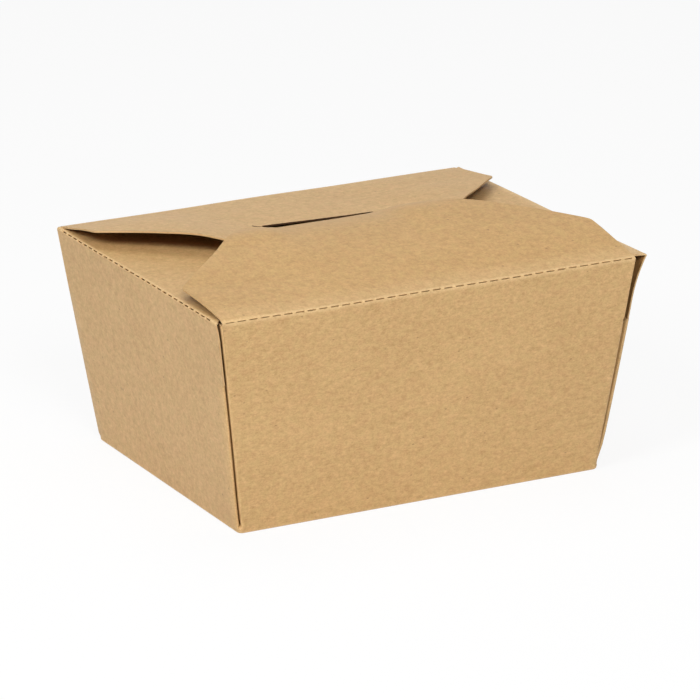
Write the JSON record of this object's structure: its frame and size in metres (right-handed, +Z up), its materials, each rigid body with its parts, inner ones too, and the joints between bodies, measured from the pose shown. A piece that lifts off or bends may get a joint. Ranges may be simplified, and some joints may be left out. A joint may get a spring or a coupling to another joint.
{
  "type": "takeaway food box",
  "caption": "Flared kraft board food box folded from one sheet, with inward webbed corners, arched top flaps and a front flap whose tongue locks in a slot.",
  "frame": {"origin": "middle of the base's underside, on the surface the box stands on", "axes": "+X along the long side to the right, -Y towards the front wall whose flap opens first, +Z up"},
  "size_m": [0.131, 0.107, 0.0709],
  "materials": {
    "kraft_board": "matt, uncoated outside, thin food liner inside"
  },
  "bodies": {
    "box": {"carton": "kraft_board"},
    "flap": {"front_flap": "kraft_board"}
  },
  "joints": [
    {"name": "front_flap_fold", "type": "hinge", "parent": "box", "child": "flap", "pos_m": [0, -0.0535, 0.064], "axis": [1, 0, 0], "range_deg": [0, 180]}
  ]
}
